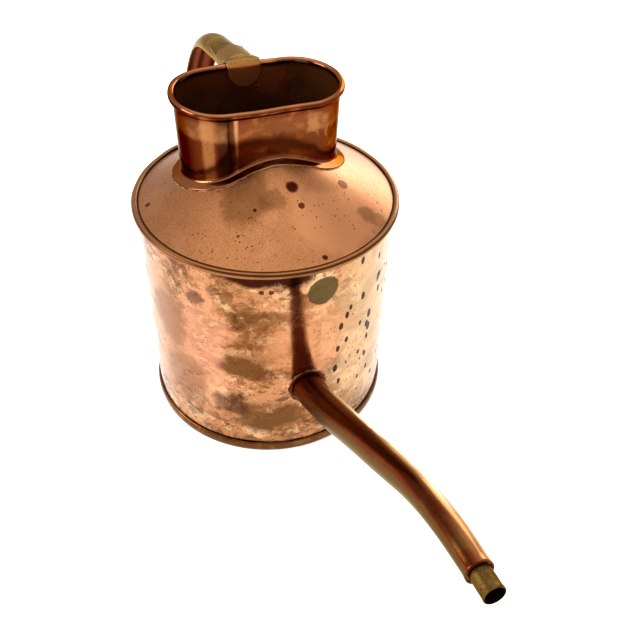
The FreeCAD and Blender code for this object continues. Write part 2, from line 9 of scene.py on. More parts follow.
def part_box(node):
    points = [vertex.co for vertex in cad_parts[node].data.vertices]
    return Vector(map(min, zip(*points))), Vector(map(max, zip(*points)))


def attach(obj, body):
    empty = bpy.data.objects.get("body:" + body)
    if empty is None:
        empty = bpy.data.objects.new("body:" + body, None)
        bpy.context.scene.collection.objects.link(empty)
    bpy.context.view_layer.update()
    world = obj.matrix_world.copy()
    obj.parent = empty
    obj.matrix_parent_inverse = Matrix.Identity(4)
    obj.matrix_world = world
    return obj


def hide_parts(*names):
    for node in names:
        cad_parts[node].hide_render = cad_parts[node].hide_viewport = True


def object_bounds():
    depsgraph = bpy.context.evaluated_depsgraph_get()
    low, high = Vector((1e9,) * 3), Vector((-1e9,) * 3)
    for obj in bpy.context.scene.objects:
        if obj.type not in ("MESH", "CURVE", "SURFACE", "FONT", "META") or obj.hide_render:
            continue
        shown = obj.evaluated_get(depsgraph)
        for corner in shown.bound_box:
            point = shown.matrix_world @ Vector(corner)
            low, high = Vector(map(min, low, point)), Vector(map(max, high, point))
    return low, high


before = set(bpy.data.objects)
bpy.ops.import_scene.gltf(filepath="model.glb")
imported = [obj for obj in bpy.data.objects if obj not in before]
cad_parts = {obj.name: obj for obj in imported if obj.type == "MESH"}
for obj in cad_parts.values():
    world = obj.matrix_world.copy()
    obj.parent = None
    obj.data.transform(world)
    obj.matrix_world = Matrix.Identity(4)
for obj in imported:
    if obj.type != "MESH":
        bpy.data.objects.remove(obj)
cadBox = [list(corner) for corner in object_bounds()]
print("frame loaded:", len(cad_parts), "nodes")

mm = 0.001
turn = 2 * math.pi
mergeDistance = 2e-6
sheetThickness = 0.8 * mm


# Quads between neighbouring points of (rows, columns, 3) grids, joined round where wrapped.
# Points that fall together, at poles and seams, are merged.
# inner gives the columns that face inwards, which the materials read as an attribute.
def gridMesh(name, grids, wrapRows=False, wrapColumns=False, closed=True, inner=(0, 0)):
    grids = grids if isinstance(grids, list) else [grids]
    points, faces, insides, first = [], [], [], 0
    for grid in grids:
        rows, columns = grid.shape[:2]
        i = np.arange(rows if wrapRows else rows - 1)[:, None]
        j = np.arange(columns if wrapColumns else columns - 1)[None, :]
        corners = [(i, j), (i + 1, j), (i + 1, j + 1), (i, j + 1)]
        quads = [first + (a % rows) * columns + b % columns + 0 * (i + j) for a, b in corners]
        faces.append(np.stack(quads, -1).reshape(-1, 4))
        points.append(grid.reshape(-1, 3))
        column = np.arange(rows * columns) % columns
        insides.append((column >= inner[0]) & (column < inner[1]))
        first += rows * columns
    mesh = bpy.data.meshes.new(name)
    mesh.from_pydata(np.concatenate(points).tolist(), [], np.concatenate(faces).tolist())
    flag = mesh.attributes.new("inside", "FLOAT", "POINT")
    flag.data.foreach_set("value", np.concatenate(insides).astype(np.float32))
    tidy = bmesh.new()
    tidy.from_mesh(mesh)
    bmesh.ops.remove_doubles(tidy, verts=tidy.verts, dist=mergeDistance)
    if closed:
        bmesh.ops.holes_fill(tidy, edges=[e for e in tidy.edges if e.is_boundary], sides=0)
        bmesh.ops.recalc_face_normals(tidy, faces=tidy.faces)
    tidy.to_mesh(mesh)
    tidy.free()
    mesh.polygons.foreach_set("use_smooth", np.ones(len(mesh.polygons), bool))
    piece = bpy.data.objects.new(name, mesh)
    bpy.context.scene.collection.objects.link(piece)
    return piece


# The piece takes its material, rides on the can and stands for its CAD nodes.
def place(piece, material, slot, *nodes):
    piece.data.materials.append(material)
    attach(piece, "root")
    if nodes:
        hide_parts(*nodes)
    print("placed", piece.name, len(piece.data.polygons), "faces")
    return piece


# Evenly spaced values from start up to, but without, end.
def span(start, end, count):
    return np.linspace(start, end, count, endpoint=False)


# Joins outline stretches, each a tuple of arrays or numbers, into one outline.
def chain(*parts):
    wide = [np.broadcast_arrays(*[np.atleast_1d(np.asarray(a, float)) for a in p]) for p in parts]
    return [np.concatenate([w[k] for w in wide]) for k in range(len(wide[0]))]


# A round stretch about (x, y), between two angles in degrees.
def roundStretch(x, y, radius, first, last, count):
    a = np.radians(span(first, last, count))
    return x + radius * np.cos(a), y + radius * np.sin(a)


# A sum of sines that closes round angle a and wanders along b in metres: about -1 to 1.
def ripple(a, b, seed, turns=(1, 9), lengths=(0.05, 0.2), waves=7):
    rng = np.random.default_rng(seed)
    total = 0
    for _ in range(waves):
        k = rng.integers(*turns)
        length = rng.uniform(*lengths)
        total = total + np.sin(k * a + rng.uniform(0, turn)) * np.cos(
            turn * b / length + rng.uniform(0, turn)
        )
    return total / math.sqrt(waves)


# 3tt - 2ttt of t, the share of the way from low to high, kept between 0 and 1.
def smooth(value, low, high):
    t = np.clip((value - low) / (high - low), 0, 1)
    return t * t * (3 - 2 * t)


# A closed outline of (radius, height) carried round Z; offset(angle, height) moves it outwards.
def revolved(name, radii, heights, steps, offset=None, wrapColumns=True, inner=(0, 0)):
    angle = span(0, turn, steps)[:, None]
    r = radii[None, :] + (offset(angle, heights[None, :]) if offset else 0 * angle)
    z = heights[None, :] + 0 * r
    points = np.stack([r * np.cos(angle), r * np.sin(angle), z], -1)
    return gridMesh(name, points, True, wrapColumns, inner=inner)


# A route in the XZ plane of lines (length,) and tangent arcs (radius, new heading in degrees),
# as a table of distance, x, z and heading.
def route(start, heading, steps):
    x, z = start
    h = math.radians(heading)
    table = [[np.array([v])] for v in (0.0, x, z, h)]
    done = 0.0
    for step in steps:
        if len(step) == 1:
            d = np.linspace(0, step[0], 24)[1:]
            rows = d, x + d * math.cos(h), z + d * math.sin(h), h + 0 * d
        else:
            radius, new = step[0], math.radians(step[1])
            side = 1 if new > h else -1
            hs = np.linspace(h, new, 120)[1:]
            rows = (
                radius * abs(hs - h),
                x + side * radius * (np.sin(hs) - math.sin(h)),
                z - side * radius * (np.cos(hs) - math.cos(h)),
                hs,
            )
        rows = (rows[0] + done, *rows[1:])
        for column, values in zip(table, rows):
            column.append(values)
        done, x, z, h = [float(values[-1]) for values in rows]
    return [np.concatenate(column) for column in table]


# Points beside a route: across is along +Y, and up is square to the route, to its left.
# The route runs on straight past its ends.
def beside(path, distance, across, up):
    s, x, z, h = path
    heading = np.interp(distance, s, h)
    past = np.minimum(distance, 0) + np.maximum(distance - s[-1], 0)
    px = np.interp(distance, s, x) + past * np.cos(heading) - up * np.sin(heading)
    pz = np.interp(distance, s, z) + past * np.sin(heading) + up * np.cos(heading)
    return np.stack(np.broadcast_arrays(px, across, pz), -1)


# How far along a direction from each point the upright cylinder of this radius lies,
# on the side that the direction leads to.
def reach(points, direction, radius):
    x, y = points[..., 0], points[..., 1]
    dx, dy = direction[0], direction[1]
    a = dx * dx + dy * dy
    b = x * dx + y * dy
    c = x * x + y * y - radius * radius
    return (-b + np.sqrt(np.maximum(b * b - a * c, 0))) / a


# A shader socket that does sums with the others.
class Socket:
    def __init__(self, tree, out):
        self.tree, self.out = tree, out

    # adds a node: its type, its settings and then the values or links of its sockets
    def node(self, kind, settings=None, values=None, out=0):
        made = self.tree.nodes.new("ShaderNode" + kind)
        for key, value in (settings or {}).items():
            setattr(made, key, value)
        for key, value in (values or {}).items():
            if isinstance(value, Socket):
                self.tree.links.new(value.out, made.inputs[key])
            elif isinstance(value, tuple) and len(made.inputs[key].default_value) == 4:
                made.inputs[key].default_value = (*value, 1)
            else:
                made.inputs[key].default_value = value
        return Socket(self.tree, made.outputs[out])

    # a Math node of this operation on the values
    def sum(self, operation, *values):
        return self.node("Math", {"operation": operation}, dict(enumerate(values)))

    def __add__(self, other):
        return self.sum("ADD", self, other)

    def __radd__(self, other):
        return self.sum("ADD", other, self)

    def __sub__(self, other):
        return self.sum("SUBTRACT", self, other)

    def __rsub__(self, other):
        return self.sum("SUBTRACT", other, self)

    def __mul__(self, other):
        return self.sum("MULTIPLY", self, other)

    def __rmul__(self, other):
        return self.sum("MULTIPLY", other, self)

    # 0 below low, 1 above high, eased between
    def ease(self, low, high):
        values = {0: self, 1: low, 2: high, 3: 0.0, 4: 1.0}
        return self.node("MapRange", {"interpolation_type": "SMOOTHSTEP"}, values)

    # the larger of two values
    def larger(self, other):
        return self.sum("MAXIMUM", self, other)

    # this colour, covered by another where the mask is 1
    def covered(self, colour, mask):
        return self.node("Mix", {"data_type": "RGBA"}, {0: mask, 6: self, 7: colour}, 2)

    # grey noise, about 0.5 in the middle
    def noise(self, scale, detail=3.0, roughness=0.5):
        values = {"Vector": self, "Scale": scale, "Detail": detail, "Roughness": roughness}
        return self.node("TexNoise", {}, values)

    # the pattern's place stretched and then moved
    def mapped(self, location=(0.0, 0.0, 0.0), scale=(1.0, 1.0, 1.0)):
        return self.node("Mapping", {}, {"Vector": self, "Location": location, "Scale": scale})

    # the place pushed about by a noise of this scale and reach
    def warped(self, scale, far):
        push = self.node("TexNoise", {}, {"Vector": self, "Scale": scale, "Detail": 4.0}, "Color")
        centred = push.vector("SUBTRACT", {0: push, 1: (0.5, 0.5, 0.5)})
        longer = centred.vector("SCALE", {0: centred, "Scale": far * 2})
        return self.vector("ADD", {0: self, 1: longer})

    # a Vector Math node that gives a vector
    def vector(self, operation, values):
        return self.node("VectorMath", {"operation": operation}, values, "Vector")

    # a random number for each cell, and the distance to the cell's middle
    def cells(self, scale):
        values = {"Vector": self, "Scale": scale, "Randomness": 1.0}
        colour = self.node("TexVoronoi", {"feature": "F1"}, values, "Color")
        luck = colour.node("SeparateXYZ", {}, {0: colour}, "X")
        return luck, self.node("TexVoronoi", {"feature": "F1"}, values, "Distance")

    # the length from this place to a point
    def distanceTo(self, point):
        return self.node("VectorMath", {"operation": "DISTANCE"}, {0: self, 1: point}, "Value")


# base colours, linear
tones = {
    "straw": (0.80, 0.53, 0.29),
    "peach": (0.58, 0.28, 0.145),
    "sand": (0.46, 0.22, 0.09),
    "tan": (0.60, 0.275, 0.135),
    "blush": (0.72, 0.34, 0.21),
    "clay": (0.49, 0.22, 0.102),
    "orange": (0.38, 0.13, 0.036),
    "amber": (0.30, 0.135, 0.048),
    "brass": (0.56, 0.33, 0.12),
    "khaki": (0.30, 0.185, 0.058),
    "olive": (0.15, 0.09, 0.028),
    "bronze": (0.16, 0.066, 0.020),
    "chestnut": (0.15, 0.05, 0.015),
    "mahogany": (0.14, 0.026, 0.008),
    "garnet": (0.050, 0.013, 0.006),
    # ember, cream and bark are used only for painted light: ember for glows and lit faces, cream for a
    # highlight, bark for a reflection band
    "ember": (0.62, 0.25, 0.08),
    "cream": (0.92, 0.80, 0.62),
    "moss": (0.115, 0.080, 0.028),
    "bark": (0.115, 0.062, 0.020),
    "oxblood": (0.20, 0.035, 0.013),
    "umber": (0.070, 0.024, 0.009),
    "pitch": (0.020, 0.010, 0.005),
    "solder": (0.42, 0.25, 0.115),
    "solderShade": (0.13, 0.06, 0.025),
    "iron": (0.11, 0.10, 0.095),
    "ironRust": (0.16, 0.06, 0.025),
}


# scales in 1/m, and how far a pattern's place is pushed about in m
patina = {
    "warpScale": 30.0, "warpReach": 0.012, "fine": 900.0, "grain": 3200.0, "pitField": 40.0,
    "pitScale": 420.0, "crust": 420.0, "ripples": 75.0, "dents": 26.0, "uneven": 45.0,
    "reliefDepth": 0.002,
}


# A material whose surface is the shader that paint(sheet) returns.
def finish(name, paint):
    material = bpy.data.materials.new(name)
    material.use_nodes = True
    tree = material.node_tree
    tree.nodes.clear()
    shader = paint(Socket(tree, None))
    output = tree.nodes.new("ShaderNodeOutputMaterial")
    tree.links.new(shader.out, output.inputs["Surface"])
    return material


# Layers of tarnish, each shown where its own noise passes from low to high.
def tarnish(warped, fine, look, tone, rough):
    soil = fine * 0.0
    for number, (colour, scale, squash, low, high, strength, dulling) in enumerate(look["layers"]):
        shift = (0.31 * number + 0.1, 0.17 * number, 0.23)
        placed = warped.mapped(location=shift, scale=(1.0, 1.0, squash))
        mask = placed.noise(scale, 6.0, 0.62).ease(low, high) * strength
        tone = tone.covered(tones[colour], mask)
        rough = rough + mask * dulling
        soil = soil + mask * 0.3
    return tone, rough, soil


# Soft clouds: distance from a place over the radius, plus noise, eased out past 1.
def clouded(at, warped, look, tone, rough):
    for x, y, z, radius, squash, colour, strength in look.get("clouds", []):
        away = warped.mapped(scale=(1.0, 1.0, squash)).distanceTo((x, y, z * squash)) * (1 / radius)
        ragged = at.noise(1.6 / radius, 5.0, 0.65) * 1.1
        mask = 1 - (away + ragged).ease(1.1, 1.6)
        tone = tone.covered(tones[colour], mask * strength)
        rough = rough + mask * 0.06 * strength
    return tone, rough


# Painted light by the way the surface faces: a lit top on upward faces, highlights and reflections along an
# axis, reflection bands on upright faces beside a place (x, y).
def paintedLightByFacing(sheet, at, warped, look, tone):
    facing = sheet.node("NewGeometry", {}, {}, "Normal")
    level = facing.node("SeparateXYZ", {}, {0: facing}, "Z")
    if "crown" in look:
        colour, strength = look["crown"]
        tone = tone.covered(tones[colour], level.ease(0.3, 0.75) * strength)
    for axis, low, high, start, end, colour, strength in look.get("sides", []):
        leaning = facing.node("VectorMath", {"operation": "DOT_PRODUCT"}, {0: facing, 1: axis}, "Value")
        along = warped.node("SeparateXYZ", {}, {0: warped}, "X")
        stretch = along.ease(start, start + 0.03) * (1 - along.ease(end - 0.03, end))
        uneven = at.noise(patina["uneven"], 4.0, 0.6) * 0.25
        tone = tone.covered(tones[colour], (leaning + uneven).ease(low, high) * stretch * strength)
    for x, y, radius, colour, strength in look.get("streaks", []):
        ragged = at.mapped(scale=(1.0, 1.0, 0.3)).noise(0.5 / radius, 3.0, 0.6) * 0.6
        away = at.mapped(scale=(1.0, 1.0, 0.0)).distanceTo((x, y, 0.0)) * (1 / radius)
        mask = 1 - (away + ragged).ease(0.75, 1.5)
        tone = tone.covered(tones[colour], mask * strength * (1 - level.ease(0.3, 0.7)))
    return tone


# Pits and drips: round cells whose size follows a noise, or how near they are to the drips' centre.
def pitted(at, look, spread):
    luck, cell = at.cells(look.get("pitScale", patina["pitScale"]))
    marks = (1 - cell.ease(0.10, 0.22)) * spread
    if "drips" in look:
        drip = look["drips"]
        luck, cell = at.mapped(scale=(1.0, 1.0, drip["stretch"])).cells(drip["scale"])
        squashed = at.mapped(scale=(1.0, 1.0, drip["squash"]))
        near = 1 - squashed.distanceTo(drip["centre"]).ease(drip["inner"], drip["outer"])
        size = near * luck.ease(0.15, 1.0) * drip["size"]
        ragged = at.noise(160.0, 2.0) * 0.12
        marks = marks.larger(1 - (cell + ragged - size).ease(0.0, 0.05))
    return marks


# Single spots: distance over radius plus noise, cut off sharply near 1.
def spotted(at, fine, look, tone, rough):
    for x, y, z, radius, colour, strength in look.get("spots", []):
        ragged = at.noise(0.9 / radius, 4.0, 0.65) * 0.55
        mask = 1 - (at.distanceTo((x, y, z)) * (1 / radius) + ragged).ease(1.12, 1.2)
        tone = tone.covered(tones[colour], mask * strength)
        tone = tone.covered(tones["umber"], mask * fine.ease(0.5, 0.7) * 0.3)
        rough = rough + mask * 0.16 * strength
    return tone, rough


# Level bands by height, and rings by distance from the Z axis, both with eased edges.
def lined(at, look, spread, tone):
    for low, high, colour, strength in look.get("bands", []):
        edge = (high - low) * 0.3
        height = at.node("SeparateXYZ", {}, {0: at}, "Z")
        mask = height.ease(low, low + edge) * (1 - height.ease(high - edge, high))
        tone = tone.covered(tones[colour], mask * (0.35 + spread * 0.65) * strength)
    for radius, width, colour, strength in look.get("rings", []):
        away = at.mapped(scale=(1.0, 1.0, 0.0)).distanceTo((0.0, 0.0, 0.0))
        rise = away.ease(radius - width, radius - width * 0.5)
        mask = rise * (1 - away.ease(radius + width * 0.5, radius + width))
        tone = tone.covered(tones[colour], mask * strength)
    return tone


# Old copper: one tone under tarnish, dust, clouds, painted light by facing, pits, spots and lines, in that
# order.
# look gives the tones and how much there is of each, with these rows:
# layers (tone, scale, squash, low, high, strength, dulling)
# clouds (x, y, z, radius, squash, tone, strength), spots (x, y, z, radius, tone, strength)
# sides (axis, low, high, first x, last x, tone, strength) and streaks (x, y, radius, tone, strength) are
# painted light
# bands (low, high, tone, strength), rings (radius, width, tone, strength)
# crown (tone, strength) is painted light on upward faces, inside (tone, strength, dulling) is on inner ones
def copper(name, look):
    def paint(sheet):
        at = sheet.node("TexCoord", {}, {}, "Object")
        warped = at.warped(patina["warpScale"], patina["warpReach"])
        fine = at.noise(patina["fine"], 3.0, 0.6)
        grain = at.noise(patina["grain"], 2.0, 0.5)
        tone = sheet.node("RGB")
        tone.out.default_value = (*tones[look["tone"]], 1)
        tone, rough, soil = tarnish(warped, fine, look, tone, look["rough"] + fine * 0.03)
        mottle = (fine * 0.55 + grain * 0.45).ease(0.42, 0.62) * look.get("mottle", 0.35)
        tone = tone.covered(tones[look["dust"]], mottle)
        tone, rough = clouded(at, warped, look, tone, rough)
        # painted light, highlights and reflections by the way the surface faces
        tone = paintedLightByFacing(sheet, at, warped, look, tone)
        spread = at.noise(patina["pitField"], 3.0, 0.6).ease(*look["pits"])
        marks = pitted(at, look, spread)
        tone = tone.covered(tones["pitch"], marks * 0.93)
        tone, rough = spotted(at, fine, look, tone, rough)
        tone = lined(at, look, spread, tone)
        within = sheet.node("Attribute", {"attribute_name": "inside"}, {}, "Fac")
        innerTone, innerStrength, innerDulling = look.get("inside", ("oxblood", 0.7, 0.12))
        tone = tone.covered(tones[innerTone], within * innerStrength)
        dents = at.noise(patina["dents"], 2.0, 0.5)
        crust = at.noise(patina["crust"], 4.0, 0.65)
        ripples = at.noise(patina["ripples"], 2.0, 0.5)
        relief = dents * look["dents"] + ripples * 0.06 + fine * 0.012 + soil * crust * 0.05 - marks * 0.05
        depth = {"Strength": look["bump"], "Distance": patina["reliefDepth"], "Height": relief}
        return sheet.node("BsdfPrincipled", {}, {
            "Base Color": tone,
            "Metallic": look.get("metal", 1.0) - within * 0.1,
            "Roughness": rough + within * innerDulling + marks * 0.2,
            "Specular Tint": look.get("edge", (1.0, 1.0, 1.0)),
            "Normal": sheet.node("Bump", {}, depth),
        })

    return finish(name, paint)


# Dull solder: pale metal under brown clouds.
def solderPaint(sheet):
    at = sheet.node("TexCoord", {}, {}, "Object")
    cloud = at.noise(120.0, 4.0, 0.6)
    fine = at.noise(1500.0, 3.0, 0.6)
    tone = sheet.node("RGB")
    tone.out.default_value = (*tones["solder"], 1)
    tone = tone.covered(tones["solderShade"], cloud.ease(0.42, 0.62))
    bump = sheet.node("Bump", {}, {"Strength": 0.6, "Distance": 0.001, "Height": cloud * 0.5 + fine * 0.3})
    return sheet.node("BsdfPrincipled", {}, {
        "Base Color": tone, "Metallic": 0.8, "Roughness": 0.42 + fine * 0.2, "Normal": bump,
    })


# Iron wire: grey under patches of rust.
def wirePaint(sheet):
    at = sheet.node("TexCoord", {}, {}, "Object")
    rust = at.noise(300.0, 4.0, 0.6)
    tone = sheet.node("RGB")
    tone.out.default_value = (*tones["iron"], 1)
    tone = tone.covered(tones["ironRust"], rust.ease(0.45, 0.6))
    return sheet.node("BsdfPrincipled", {}, {
        "Base Color": tone, "Metallic": 0.7, "Roughness": 0.45 + rust * 0.3,
    })


softSolder = finish("softSolder", solderPaint)
ironWire = finish("ironWire", wirePaint)
print("solder and wire made")

shell = {
    "radius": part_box("body_wall")[1][1],
    "height": 0.184,
    "wave": 0.45 * mm,
    "seamAngle": math.radians(151),
    "seamWidth": 9 * mm,
    "seamHeight": 0.5 * mm,
    "steps": 288,
}


# the wall's waves fade out at the foot and the shoulder; the lap seam is one soft step
def wallWave(angle, height):
    free = smooth(height, 0.010, 0.045) * (1 - smooth(height, 0.150, 0.178))
    wave = ripple(angle, height, 4, (1, 8), (0.08, 0.3)) * shell["wave"] * free
    away = np.abs(np.angle(np.exp(1j * (angle - shell["seamAngle"])))) * shell["radius"]
    seam = (1 - smooth(away, shell["seamWidth"] / 2 - mm, shell["seamWidth"] / 2)) * shell["seamHeight"]
    return wave + seam * smooth(height, 0.010, 0.014) * (1 - smooth(height, 0.176, 0.180))


# a place on the wall by its angle in degrees and its height
def onWall(degrees, height):
    a = math.radians(degrees)
    return shell["radius"] * math.cos(a), shell["radius"] * math.sin(a), height


bodyLook = {
    "tone": "peach", "dust": "bronze", "rough": 0.085, "dents": 0.6, "bump": 0.4, "mottle": 0.34,
    "layers": [
        ("sand", 9.0, 1.7, 0.40, 0.54, 0.9, 0.03),
        ("straw", 21.0, 1.4, 0.52, 0.62, 0.8, -0.01),
        ("bronze", 13.0, 1.8, 0.52, 0.60, 0.85, 0.10),
        ("bronze", 38.0, 1.7, 0.53, 0.58, 0.6, 0.05),
        ("straw", 70.0, 1.5, 0.54, 0.62, 0.55, 0.0),
        ("chestnut", 95.0, 1.3, 0.55, 0.59, 0.6, 0.06),
        ("umber", 42.0, 1.4, 0.58, 0.64, 0.7, 0.12),
        ("bronze", 240.0, 1.0, 0.55, 0.62, 0.5, 0.08),
    ],
    "pits": (0.40, 0.58), "pitScale": 330.0,
    "drips": {
        "centre": (0.076, 0.060, 0.064), "inner": 0.040, "outer": 0.060, "squash": 0.6,
        "stretch": 0.55, "scale": 150.0, "size": 0.40,
    },
    "clouds": [
        # painted light: a large straw cloud that makes the body's right side paler
        (*onWall(40, 0.110), 62 * mm, 0.6, "straw", 0.55),
        (*onWall(2, 0.120), 38 * mm, 0.8, "tan", 0.6),
        (*onWall(-47, 0.100), 24 * mm, 0.35, "blush", 0.55),
        (*onWall(-24, 0.118), 20 * mm, 0.7, "chestnut", 0.35),
        (*onWall(-75, 0.100), 42 * mm, 0.6, "peach", 0.8),
        (*onWall(-68, 0.120), 26 * mm, 0.8, "bronze", 0.6),
        (*onWall(-60, 0.060), 26 * mm, 0.8, "bronze", 0.5),
        (*onWall(-30, 0.093), 19 * mm, 1.4, "bronze", 0.9),
        (*onWall(-20, 0.090), 13 * mm, 1.4, "chestnut", 0.7),
        (*onWall(-18, 0.038), 32 * mm, 1.5, "bronze", 0.9),
        (*onWall(-36, 0.050), 17 * mm, 1.2, "umber", 0.7),
        (*onWall(-18, 0.141), 22 * mm, 2.0, "bronze", 0.6),
        (*onWall(-50, 0.152), 9 * mm, 1.0, "umber", 0.7),
        # painted reflection: a dark garnet lens under the shoulder bead, on the side that faces the camera
        (*onWall(-17, 0.1815), 42 * mm, 4.5, "garnet", 1.0),
    ],
    "spots": [
        (*onWall(6, 0.163), 13.5 * mm, "moss", 0.97),
        (*onWall(-20, 0.1685), 2.2 * mm, "umber", 0.9),
        (*onWall(-16, 0.1685), 2.2 * mm, "umber", 0.9),
    ],
    # painted shade: a pitch band in the groove above the foot band
    "bands": [(0.0080, 0.0108, "pitch", 1.0)],
}
copperBody = copper("copperBody", bodyLook)

outer, inner = shell["radius"], shell["radius"] - sheetThickness
top = shell["height"] - 1.6 * mm
radii, heights = chain(
    (outer, span(0, top, 96)), (span(outer, inner, 2), top),
    (inner, span(top, 0, 40)), (span(inner, outer, 2), 0.0),
)
bodyWall = revolved("bodyWall", radii, heights, shell["steps"], wallWave, inner=(98, 138))
place(bodyWall, copperBody, "copper_body", "body_wall")

foot = {
    "depth": 2.3 * mm, "height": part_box("foot_band")[1][2], "fullness": 0.62, "steps": 240,
    "wave": 0.22 * mm,
}
roll = np.radians(np.linspace(-90, 90, 25))
half = foot["height"] / 2
radii, heights = chain(
    (outer - 0.2 * mm + foot["depth"] * np.cos(roll) ** foot["fullness"],
     half + half * np.sign(np.sin(roll)) * np.abs(np.sin(roll)) ** 0.9),
    (outer - 0.35 * mm, span(foot["height"] - 0.3 * mm, 0.2 * mm, 6)),
)
footBand = revolved(
    "footBand", radii, heights, foot["steps"],
    lambda angle, height: foot["wave"] * ripple(angle, 0 * height, 9, (2, 12)) * smooth(height, 0, 4 * mm),
)
brownCopper = copper("brownCopper", {
    "tone": "bronze", "dust": "umber", "rough": 0.20, "dents": 0.3, "bump": 0.3,
    "layers": [("amber", 60.0, 1.0, 0.48, 0.62, 0.8, 0.0), ("umber", 35.0, 1.0, 0.56, 0.68, 0.7, 0.1)],
    "pits": (0.45, 0.62),
})
place(footBand, brownCopper, "copper_body", "foot_band")

base = {
    "edge": inner - 0.05 * mm, "top": 6.0 * mm, "low": 0.5 * mm, "corner": 2.2 * mm, "steps": 200,
    "dome": 0.9 * mm, "ridge": 0.8 * mm, "ridgeRadius": 62 * mm, "ridgeWidth": 4 * mm,
}
# a low dome, higher by 1 - (r / edge)^2, with a bell-shaped ridge round it
bendR, bendZ = base["edge"] - base["corner"], base["top"] - base["corner"]
r = np.linspace(0, bendR, 50)
ridge = base["ridge"] * np.exp(-(((r - base["ridgeRadius"]) / base["ridgeWidth"]) ** 2))
swell = base["dome"] * (1 - (r / base["edge"]) ** 2) + ridge
radii, heights = chain(
    (r, base["top"] - sheetThickness + swell),
    roundStretch(bendR, bendZ, base["corner"] - sheetThickness, 90, 0, 6),
    (base["edge"] - sheetThickness, span(bendZ, base["low"], 6)),
    (span(base["edge"] - sheetThickness, base["edge"], 2), base["low"]),
    (base["edge"], span(base["low"], bendZ, 6)),
    roundStretch(bendR, bendZ, base["corner"], 0, 90, 8),
    (r[::-1], base["top"] + swell[::-1]),
)
basePlate = revolved("basePlate", radii, heights, base["steps"], wrapColumns=False)
place(basePlate, copperBody, "copper_body", "base_plate")


cone = {"edge": 0.0954, "foot": 0.18492, "tilt": math.radians(27.07), "sag": 0.35 * mm}
# the bead rolls from one angle to the other about its ring, in degrees
bead = {
    "ring": 0.0975, "height": 0.184, "radius": 2.5 * mm, "wire": 1.7 * mm, "wave": 0.05,
    "from": -114, "to": 147,
}
neck = {
    "centre": -0.0170, "halfRun": 27.3 * mm, "roundY": 33.3 * mm, "roundX": 36.6 * mm,
    "rim": 0.2617, "rimRadius": 2.4 * mm, "outside": -0.5 * mm, "taper": 1.4 * mm,
    "fillet": 1.7 * mm, "flange": 4.5 * mm, "wave": 0.3 * mm, "steps": 320,
}


# the cone rises by the tangent of its tilt for each metre inwards
def coneHeight(x, y):
    return cone["foot"] + (cone["edge"] - np.hypot(x, y)) * math.tan(cone["tilt"])


# The neck's outline in plan, moved out by a distance: two straight sides along Y with
# half-ellipse ends. t goes once round from 0 to 1.
def neckOutline(t, out):
    a = np.linspace(0, turn, 2001)
    run = neck["halfRun"] * np.clip(np.sin(a) * 6, -1, 1)
    x, y = neck["roundX"] * np.cos(a), neck["roundY"] * np.sin(a) + run
    walk = np.concatenate([[0], np.cumsum(np.hypot(np.diff(x), np.diff(y)))])
    at = t * walk[-1]
    px, py = np.interp(at, walk, x), np.interp(at, walk, y)
    step = 1.2 * mm
    ahead, behind = (at + step) % walk[-1], (at - step) % walk[-1]
    tx = np.interp(ahead, walk, x) - np.interp(behind, walk, x)
    ty = np.interp(ahead, walk, y) - np.interp(behind, walk, y)
    size = np.hypot(tx, ty)
    return neck["centre"] + px + out * ty / size, py - out * tx / size


holeT = span(0, 1, 1200)
holeX, holeY = neckOutline(holeT, -1.9 * mm)
holeAngle, holeRadius = np.arctan2(holeY, holeX), np.hypot(holeX, holeY)
order = np.argsort(holeAngle)
angle = span(-math.pi, math.pi, 360)[:, None]
hole = np.interp(angle, holeAngle[order], holeRadius[order], period=turn)
rollOut = roundStretch(bead["ring"], bead["height"], bead["radius"], bead["from"], bead["to"], 40)
rollIn = roundStretch(bead["ring"], bead["height"], bead["wire"], bead["to"], bead["from"], 24)
start = cone["edge"] + 0.3 * mm
t = np.linspace(0, 1, 42)[None, :]
topR = start + (hole - start) * t
sag = cone["sag"] * ripple(angle, topR, 21, (1, 6), (0.05, 0.14))
sag = sag * smooth(t, 0.02, 0.2) * (1 - smooth(t, 0.8, 1))
topZ = cone["foot"] + (cone["edge"] - topR) * math.tan(cone["tilt"]) + sag
beadWave = 1 + bead["wave"] * ripple(angle, 0, 5, (3, 20))
rollR = bead["ring"] + (rollOut[0] - bead["ring"])[None, :] * beadWave
rollZ = bead["height"] + (rollOut[1] - bead["height"])[None, :] * beadWave + 0 * angle
wireR, wireZ = rollIn[0][None, :] + 0 * angle, rollIn[1][None, :] + 0 * angle
lowR, lowZ = topR[:, ::-1], topZ[:, ::-1] - sheetThickness / math.cos(cone["tilt"])
r = np.concatenate([rollR, topR, lowR, wireR], 1)
z = np.concatenate([rollZ, topZ, lowZ, wireZ], 1)
shoulder = gridMesh("shoulder", np.stack([r * np.cos(angle), r * np.sin(angle), z], -1), True, True)


# a place on the shoulder by its angle in degrees and its distance from the middle
def onShoulder(degrees, away):
    x, y = away * math.cos(math.radians(degrees)), away * math.sin(math.radians(degrees))
    return x, y, float(coneHeight(x, y))


